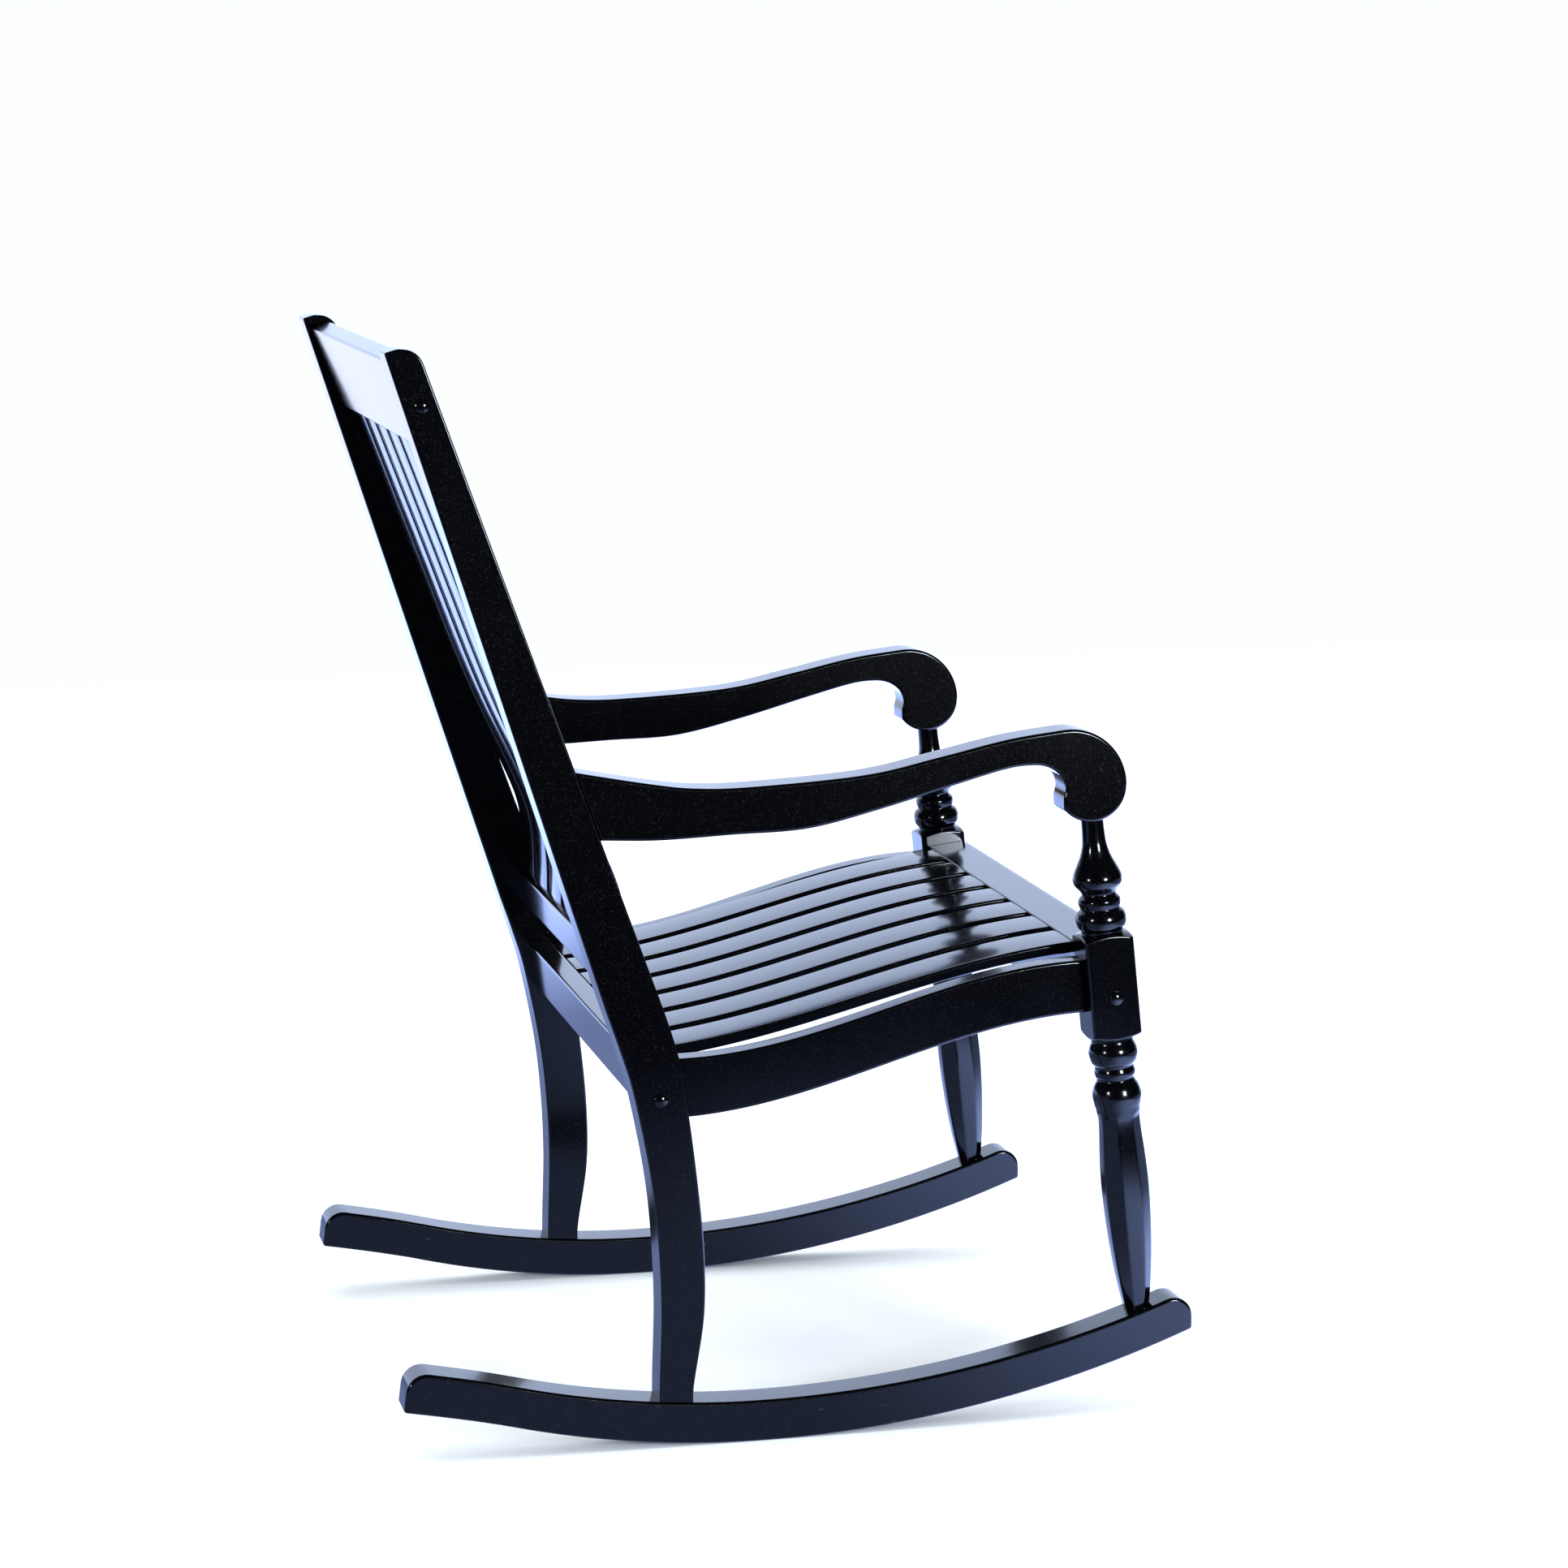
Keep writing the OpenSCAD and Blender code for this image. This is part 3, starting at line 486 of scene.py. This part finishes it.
post = bmesh.new()
lathe(post, [ring(lambda t, r=r: r, lambda t, rr, z=z: z) for r, z in curve_through(UPPER)])
turned = curve_through(LOWER)
fluted = [p for p in curve_through(LOWER[-2:-1] + LEG, 0.0025) if p.y < ANKLE]
rings = [leg_ring(p) for p in turned + fluted]
lathe(post, rings[::-1])
shoulder_rings = []
for side in (1, -1):
    half_rings = []
    for k in range(SHOULDER_RINGS + 1):
        share = k / SHOULDER_RINGS
        half_rings.append(ring(
            lambda t, s=share: DOME_INNER_R + (block_rim(t) - BLOCK_ARRIS - DOME_INNER_R) * s,
            lambda t, r, side=side: side * dome(r)))
    for k in range(1, ROUNDING_RINGS + 1):
        turn = math.pi / 2 * k / ROUNDING_RINGS

        def out(t, turn=turn):
            return block_rim(t) - BLOCK_ARRIS * (1 - math.sin(turn))

        def up(t, r, turn=turn, side=side):
            edge = dome(block_rim(t) - BLOCK_ARRIS)
            return side * (edge - BLOCK_ARRIS * (1 - math.cos(turn)))
        half_rings.append(ring(out, up))
    shoulder_rings.append(half_rings)
lathe(post, (shoulder_rings[0] + shoulder_rings[1][::-1])[::-1])
bmesh.ops.recalc_face_normals(post, faces=post.faces)
lean = Matrix.Translation(BLOCK_MIDDLE) @ Matrix.Rotation(-FRONT_LEAN, 4, "X")
bmesh.ops.transform(post, matrix=lean, verts=post.verts)
front_finish = black_lacquer("lacquer_front_posts",
                             (0, math.sin(FRONT_LEAN), math.cos(FRONT_LEAN)))
front_right = baked(finished("front_post_right", post))
place(front_right, front_finish, "black_lacquer", "right_front_post")
place(other_side(front_right, "front_post_left"), front_finish, "black_lacquer",
      "left_front_post")


# ---- Arms ----
# Sawn from wide board with the grain along them, each arm butts the back post
# and rolls over at the front in a scroll that is cut back underneath.
arm_finish = black_lacquer("lacquer_arms", (0, 1, 0.05))
ARM_OUT, ARM_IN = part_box("right_arm")[0].x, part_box("right_arm")[1].x
ARM_ARRIS = 0.0030
arm_run = soften(side_outline("right_arm", ARM_OUT))
arm_right = baked(board_mesh("arm_right", arm_run, ARM_OUT, ARM_IN, ARM_ARRIS))
place(arm_right, arm_finish, "black_lacquer", "right_arm")
place(other_side(arm_right, "arm_left"), arm_finish, "black_lacquer", "left_arm")


# ---- Side rails ----
# The seat's side rails follow the scoop of the seat, a little below the slats,
# and are dowelled between the front blocks and the back posts.
rail_finish = black_lacquer("lacquer_side_rails", (0, 1, -0.18))
RAIL_OUT, RAIL_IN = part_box("right_side_rail")[0].x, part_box("right_side_rail")[1].x
RAIL_ARRIS = 0.0028
rail_run = soften(side_outline("right_side_rail", RAIL_OUT))
rail_right = baked(board_mesh("side_rail_right", rail_run, RAIL_OUT, RAIL_IN, RAIL_ARRIS))
place(rail_right, rail_finish, "black_lacquer", "right_side_rail")
place(other_side(rail_right, "side_rail_left"), rail_finish, "black_lacquer",
      "left_side_rail")


# ---- Cross rails and front board ----
# Straight pieces across the chair, with the grain across it: the rail and the
# rounded board at the front, the rear seat rail, the rail that takes the feet
# of the back slats, and the wide crest.
cross_finish = black_lacquer("lacquer_cross_rails", (1, 0, 0))
for name, replaced, corner_r, end_r in (
        ("front_rail", "front_seat_rail", 0.0020, 0.0005),
        ("front_board", "front_seat_board", 0.0012, 0.0010),
        ("rear_rail", "rear_seat_rail", 0.0026, 0.0005),
        ("back_low_rail", "lower_back_rail", 0.0028, 0.0005),
        ("crest", "crest_rail", 0.0034, 0.0005)):
    low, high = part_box(replaced)
    run = soften(side_outline(replaced, low.x), corner_r=corner_r)
    piece = baked(board_mesh(name, run, low.x, high.x, end_r))
    place(piece, cross_finish, "black_lacquer", replaced)


# ---- Seat slats ----
# Seven slats run from the front board to the rear rail along the scoop of the
# seat. Each is 12 mm thick, with its long arrises eased, and is tongued at
# both ends. They are cut to one template and set at one pitch.
def empty_tree(name, inputs, output):
    """A new tree with named inputs and one output, and the bench to fill it on."""
    tree = bpy.data.node_groups.new(name, "GeometryNodeTree")
    sockets = {label: tree.interface.new_socket(label, in_out="INPUT",
                                                socket_type="NodeSocket" + kind)
               for label, kind in inputs}
    tree.interface.new_socket(output, in_out="OUTPUT", socket_type="NodeSocketGeometry")
    bench = Bench(tree)
    return tree, sockets, bench, bench.node("NodeGroupInput")


def slat_run_tree():
    """Sets copies of one slat side by side, centred on where it lies."""
    tree, sockets, bench, given = empty_tree("slat_run", (
        ("Slat", "Geometry"), ("Count", "Int"), ("Pitch", "Float"),
        ("Finish", "Material")), "Run")
    start = (given["Count"] - 1) * given["Pitch"] * -0.5
    first = bench.node("ShaderNodeCombineXYZ", None, {"X": start})["Vector"]
    stride = bench.node("ShaderNodeCombineXYZ", None, {"X": given["Pitch"]})["Vector"]
    line = bench.node("GeometryNodeMeshLine", {"mode": "OFFSET"},
                      {"Count": given["Count"], "Start Location": first, "Offset": stride})
    copies = bench.node("GeometryNodeInstanceOnPoints", None,
                        {"Points": line["Mesh"], "Instance": given["Slat"]})
    real = bench.node("GeometryNodeRealizeInstances", None,
                      {"Geometry": copies["Instances"]})
    dressed = bench.node("GeometryNodeSetMaterial", None,
                         {"Geometry": real["Geometry"], "Material": given["Finish"]})
    bench.node("NodeGroupOutput", None, {"Run": dressed["Geometry"]})
    return tree, sockets


slat_tree, slat_sockets = slat_run_tree()


def slat_run(piece, count, pitch, finish):
    """Repeats one slat into a run, as a plain mesh."""
    repeat = piece.modifiers.new("run", "NODES")
    repeat.node_group = slat_tree
    for label, value in (("Count", count), ("Pitch", pitch), ("Finish", finish)):
        repeat[slat_sockets[label].identifier] = value
    return baked(piece)


SEAT_SLATS = 7
SEAT_PITCH = 0.075
SEAT_ARRIS = 0.0022
SEAT_CROWN = 0.0006
SLAT_CORNER_R = 0.0010
SLAT_STEP = 0.003
seat_finish = black_lacquer("lacquer_seat_slats", (0, 1, -0.2))
low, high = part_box("seat_slat_4")
seat_run = soften(side_outline("seat_slat_4", low.x), corner_r=SLAT_CORNER_R, step=SLAT_STEP)
seat = board_mesh("seat_slats", seat_run, low.x, high.x, SEAT_ARRIS, crown=SEAT_CROWN)
seat = slat_run(seat, SEAT_SLATS, SEAT_PITCH, seat_finish)
place(seat, seat_finish, "black_lacquer",
      *[f"seat_slat_{i}" for i in range(1, SEAT_SLATS + 1)])


# ---- Back slats ----
# Seven thinner slats bend forward at the small of the back and run straight
# up to the crest. They are tenoned into the lower rail and the crest.
BACK_SLATS = 7
BACK_OPENING = 0.550          # between the two back posts
BACK_PITCH = BACK_OPENING / BACK_SLATS
BACK_ARRIS = 0.0016
BACK_CROWN = 0.0018
SLAT_LET_IN = 0.005           # how far the rounded slat runs into its two rails


def lengthened(run, extra):
    """An upright outline with its top and bottom ends moved outwards."""
    run, n = [p.copy() for p in run], len(run)
    heights = [(run[i].y + run[(i + 1) % n].y) / 2 for i in range(n)]
    for i in (heights.index(max(heights)), heights.index(min(heights))):
        a, b = run[i], run[(i + 1) % n]
        way = (b - a).normalized()
        for p in (a, b):
            p += Vector((way.y, -way.x)) * extra
    return run


back_finish = black_lacquer("lacquer_back_slats", POST_LEAN)
low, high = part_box("back_slat_4")
back_run = lengthened(side_outline("back_slat_4", low.x), SLAT_LET_IN)
back_run = soften(back_run, corner_r=SLAT_CORNER_R, step=SLAT_STEP)
back = board_mesh("back_slats", back_run, low.x, high.x, BACK_ARRIS, crown=BACK_CROWN)
back = slat_run(back, BACK_SLATS, BACK_PITCH, back_finish)
place(back, back_finish, "black_lacquer",
      *[f"back_slat_{i}" for i in range(1, BACK_SLATS + 1)])


# ---- Button caps ----
# Small domed wooden caps, lacquered with the frame, plug the counterbores over
# the bolt heads on the outer faces of the posts and the front blocks.
CAP_R = 0.00675
CAP_HEIGHT = 0.0035
CAP_RIM = 0.0013
CAP_STEPS = 8
CAP_SIDES = 40
CAP_SUNK = 0.001              # how far the cap reaches into its counterbore


def cap_mesh():
    """One cap, domed upwards, standing CAP_HEIGHT above z = 0."""
    made = bmesh.new()
    dome = CAP_HEIGHT - CAP_RIM
    sphere = (CAP_R**2 + dome**2) / (2 * dome)
    edge = math.asin(CAP_R / sphere)
    loops = []
    for k in range(CAP_STEPS):
        turn = edge * (1 - k / CAP_STEPS)
        r, z = sphere * math.sin(turn), CAP_HEIGHT - sphere * (1 - math.cos(turn))
        loops.append([made.verts.new((r * math.cos(a), r * math.sin(a), z))
                      for a in (2 * math.pi * i / CAP_SIDES for i in range(CAP_SIDES))])
    base = [made.verts.new((v.co.x, v.co.y, -CAP_SUNK)) for v in loops[0]]
    loops.insert(0, base)
    for a, b in zip(loops, loops[1:]):
        for i in range(CAP_SIDES):
            j = (i + 1) % CAP_SIDES
            made.faces.new((a[i], a[j], b[j], b[i]))
    tip = made.verts.new((0, 0, CAP_HEIGHT))
    for i in range(CAP_SIDES):
        made.faces.new((loops[-1][i], loops[-1][(i + 1) % CAP_SIDES], tip))
    made.faces.new(base[::-1])
    return finished("cap_template", made)


def cap_centres():
    """Where the caps sit: CAP_HEIGHT below the tip of each CAD cap."""
    made = bmesh.new()
    made.from_mesh(nodes["button_caps"].data)
    bmesh.ops.remove_doubles(made, verts=made.verts, dist=2e-6)
    left, found = set(made.verts), []
    while left:
        island, edge = set(), [left.pop()]
        while edge:
            v = edge.pop()
            island.add(v)
            for e in v.link_edges:
                w = e.other_vert(v)
                if w in left:
                    left.discard(w)
                    edge.append(w)
        spots = [v.co for v in island]
        side = 1 if spots[0].x > 0 else -1
        tip = max(side * c.x for c in spots)
        y = (min(c.y for c in spots) + max(c.y for c in spots)) / 2
        z = (min(c.z for c in spots) + max(c.z for c in spots)) / 2
        found.append((side * (tip - CAP_HEIGHT), y, z))
    made.free()
    return sorted(found)


def cap_tree():
    """Puts the cap on each point, domed side outwards."""
    tree, sockets, bench, given = empty_tree("cap_points", (
        ("Points", "Geometry"), ("Cap", "Object"), ("Finish", "Material")), "Caps")
    at = bench.node("GeometryNodeInputPosition")["Position"]
    x = bench.node("ShaderNodeSeparateXYZ", None, {"Vector": at})["X"]
    outwards = bench.node("ShaderNodeMath", {"operation": "SIGN"}, {0: x})["Value"]
    turn = bench.node("ShaderNodeCombineXYZ", None, {"Y": outwards * (math.pi / 2)})["Vector"]
    turned_to = bench.node("FunctionNodeEulerToRotation", None, {"Euler": turn})["Rotation"]
    cap = bench.node("GeometryNodeObjectInfo", None, {"Object": given["Cap"]})["Geometry"]
    copies = bench.node("GeometryNodeInstanceOnPoints", None,
                        {"Points": given["Points"], "Instance": cap, "Rotation": turned_to})
    real = bench.node("GeometryNodeRealizeInstances", None,
                      {"Geometry": copies["Instances"]})
    dressed = bench.node("GeometryNodeSetMaterial", None,
                         {"Geometry": real["Geometry"], "Material": given["Finish"]})
    bench.node("NodeGroupOutput", None, {"Caps": dressed["Geometry"]})
    return tree, sockets


cap_finish = black_lacquer("lacquer_caps", (0, 0, 1))
spots = bpy.data.meshes.new("button_cap_points")
spots.from_pydata(cap_centres(), [], [])
caps = bpy.data.objects.new("button_caps_domed", spots)
bpy.context.scene.collection.objects.link(caps)
template = cap_mesh()
points_tree, cap_sockets = cap_tree()
setter = caps.modifiers.new("caps", "NODES")
setter.node_group = points_tree
setter[cap_sockets["Cap"].identifier] = template
setter[cap_sockets["Finish"].identifier] = cap_finish
baked(caps)
bpy.data.objects.remove(template)
place(caps, cap_finish, "black_lacquer", "button_caps")


# ---- Dowels, bolts, inserts and screws ----
# Beech dowels, zinc-plated bolts, threaded inserts and screws hold the frame.
# They lie inside the joints, and only a screw's head shows from below.
def bare_beech():
    finish, bench = empty_finish("bare_beech_dowel")
    place_at = bench.node("ShaderNodeTexCoord")["Object"]
    flecks = bench.node("ShaderNodeTexNoise", None,
                        {"Vector": place_at, "Scale": 240, "Detail": 3})["Fac"]
    tone = bench.node("ShaderNodeValToRGB", {"stops": [
        (0.35, (0.50, 0.33, 0.19, 1)), (0.65, (0.62, 0.44, 0.27, 1))]}, {"Fac": flecks})
    bump = bench.node("ShaderNodeBump", None,
                      {"Strength": 0.4, "Distance": 0.0002, "Height": flecks})["Normal"]
    shader = bench.node("ShaderNodeBsdfPrincipled", None,
                        {"Base Color": tone["Color"], "Roughness": 0.55 + flecks * 0.15,
                         "Normal": bump})["BSDF"]
    bench.node("ShaderNodeOutputMaterial", None, {"Surface": shader})
    return finish


def zinc_plate():
    finish, bench = empty_finish("zinc_plated_steel")
    place_at = bench.node("ShaderNodeTexCoord")["Object"]
    crystals = bench.node("ShaderNodeTexVoronoi", None,
                          {"Vector": place_at, "Scale": 420})["Distance"]
    tone = bench.node("ShaderNodeValToRGB", {"stops": [
        (0.0, (0.50, 0.52, 0.55, 1)), (0.8, (0.68, 0.69, 0.70, 1))]}, {"Fac": crystals})
    shader = bench.node("ShaderNodeBsdfPrincipled", None,
                        {"Base Color": tone["Color"], "Metallic": 1.0,
                         "Roughness": 0.28 + crystals * 0.2})["BSDF"]
    bench.node("ShaderNodeOutputMaterial", None, {"Surface": shader})
    return finish


for finish, names in (
        (bare_beech(), ("foot_dowels", "arm_dowels", "side_rail_dowels", "cross_rail_dowels")),
        (zinc_plate(), ("frame_bolts", "threaded_inserts", "board_screws"))):
    for name in names:
        held = nodes[name].data.materials
        held.clear()
        held.append(finish)


# ---- Studio ----
# A seamless white floor and wall. What the lacquer mirrors is set apart from
# what is seen directly: bright beyond the chair, so that tops and backs shine,
# and dark beside it, so that the outer sides stay black.
FLOOR_NEAR, FLOOR_FAR, FLOOR_SIDE = -3.2, 5.0, 4.5
# colour of the painted glow that the floor shows in the lacquer's reflections
PAINTED_FLOOR_GLOW = (0.30, 0.40, 0.78)
MIRRORED_WALL_LOW = (0.80, 0.86, 1.05, 1)
MIRRORED_WALL_HIGH = (0.66, 0.785, 1.075, 1)
SEEN_WALL = (0.985, 1.0, 1.0, 1)
EYE = (-4.0672, 0.91547, 1.26855)
EYE_YAW, EYE_PITCH = math.radians(-13.42), math.radians(-9.377)
LENS = 96.9                   # mm, on a frame 36 mm wide


def studio_floor():
    made = bmesh.new()
    corners = ((FLOOR_NEAR, -FLOOR_SIDE), (FLOOR_FAR, -FLOOR_SIDE),
               (FLOOR_FAR, FLOOR_SIDE), (FLOOR_NEAR, FLOOR_SIDE))
    made.faces.new([made.verts.new((x, y, 0)) for x, y in corners])
    floor = finished("studio_floor", made)
    finish, bench = empty_finish("white_sweep")
    at = bench.node("ShaderNodeTexCoord")["Object"]
    fine = bench.node("ShaderNodeTexNoise", None, {"Vector": at, "Scale": 30})["Fac"]
    tone = bench.node("ShaderNodeValToRGB", {"stops": [
        (0.0, (0.87, 0.90, 0.93, 1)), (1.0, (0.90, 0.93, 0.96, 1))]}, {"Fac": fine})
    paper = bench.node("ShaderNodeBsdfDiffuse", None, {"Color": tone["Color"]})["BSDF"]
    spot = bench.node("ShaderNodeSeparateXYZ", None, {"Vector": at})
    # Painted light: in reflections the floor glows instead of being lit. There is no glow on the
    # camera side, it rises towards the chair, a painted pool of light lies in front of the chair,
    # and it is brighter again far beyond.
    ahead = 0.0 - spot["Y"]
    painted_light_pool = ease(ahead, 0.0, 0.6) * (1.0 - ease(ahead, 0.8, 1.5)) * 5.0 + 1.0
    power = ease(spot["X"], -1.9, -0.8) * painted_light_pool + ease(spot["X"], 1.2, 2.2) * 4.0
    painted_glow_colour = bench.node("ShaderNodeVectorMath", {"operation": "SCALE"},
                       {"Vector": PAINTED_FLOOR_GLOW, "Scale": power})["Vector"]
    # The painted glow is an emission that only glossy rays see; all other rays see the plain paper.
    mirrored = bench.node("ShaderNodeEmission", None, {"Color": painted_glow_colour, "Strength": 1.0})["Emission"]
    glossy = bench.node("ShaderNodeLightPath")["Is Glossy Ray"]
    shader = bench.node("ShaderNodeMixShader", None, {0: glossy, 1: paper, 2: mirrored})
    bench.node("ShaderNodeOutputMaterial", None, {"Surface": shader["Shader"]})
    floor.data.materials.append(finish)


studio_floor()

world = bpy.data.worlds.new("white_studio")
bpy.context.scene.world = world
world.use_nodes = True
world.node_tree.nodes.clear()
sky = Bench(world.node_tree)
aim = sky.node("ShaderNodeTexCoord")["Generated"]
split = sky.node("ShaderNodeSeparateXYZ", None, {"Vector": aim})
beyond = ease(split["X"], 0.35, 0.85) * (1.0 - ease(split["Z"], 0.40, 0.85))
glow = beyond * 1.95 + 0.003
tint = sky.node("ShaderNodeMix", {"data_type": "RGBA"},
                {"Factor": ease(split["Z"], -0.14, 0.04), MIX_A: MIRRORED_WALL_LOW,
                 MIX_B: MIRRORED_WALL_HIGH})[MIX_COLOUR]
tinted = sky.node("ShaderNodeVectorMath", {"operation": "SCALE"},
                  {"Vector": tint, "Scale": glow})["Vector"]
lit = sky.node("ShaderNodeBackground", None, {"Color": tinted, "Strength": 1.0})
seen = sky.node("ShaderNodeBackground", None, {"Color": SEEN_WALL, "Strength": 1.0})
glossy = sky.node("ShaderNodeLightPath")["Is Glossy Ray"]
mixed = sky.node("ShaderNodeMixShader", None,
                 {0: glossy, 1: seen["Background"], 2: lit["Background"]})["Shader"]
sky.node("ShaderNodeOutputWorld", None, {"Surface": mixed})


def lamp(name, at, towards, size, power, colour=(1, 1, 1), mirrored=True):
    light = bpy.data.lights.new(name, "AREA")
    light.shape, light.size, light.size_y = "RECTANGLE", size[0], size[1]
    light.energy, light.color = power, colour
    stand = bpy.data.objects.new(name, light)
    stand.location = at
    stand.rotation_euler = (Vector(towards) - Vector(at)).to_track_quat("-Z", "Y").to_euler()
    stand.visible_glossy = mirrored
    bpy.context.scene.collection.objects.link(stand)


STROBE_TINT = (0.78, 0.88, 1.0)
lamp("overhead_light", (0.8, 0.0, 3.4), (0.8, 0.0, 0.0), (5.0, 5.0), 150, (0.93, 0.97, 1), False)
lamp("left_strobe", (-2.5, 3.3, 1.2), (0, 0, 0.45), (0.40, 0.50), 50, STROBE_TINT)
lamp("right_strobe", (-3.66, -1.58, 1.22), (0, 0, 0.45), (0.75, 0.85), 140, STROBE_TINT)

camera = bpy.data.cameras.new("camera")
camera.sensor_width = 36.0
camera.lens = LENS
camera.clip_end = 200.0
eye_at = bpy.data.objects.new("camera", camera)
eye_at.location = EYE
look = Vector((math.cos(EYE_PITCH) * math.cos(EYE_YAW),
               math.cos(EYE_PITCH) * math.sin(EYE_YAW), math.sin(EYE_PITCH)))
eye_at.rotation_euler = look.to_track_quat("-Z", "Y").to_euler()
bpy.context.scene.collection.objects.link(eye_at)
bpy.context.scene.camera = eye_at
bpy.context.scene.view_settings.view_transform = "Standard"
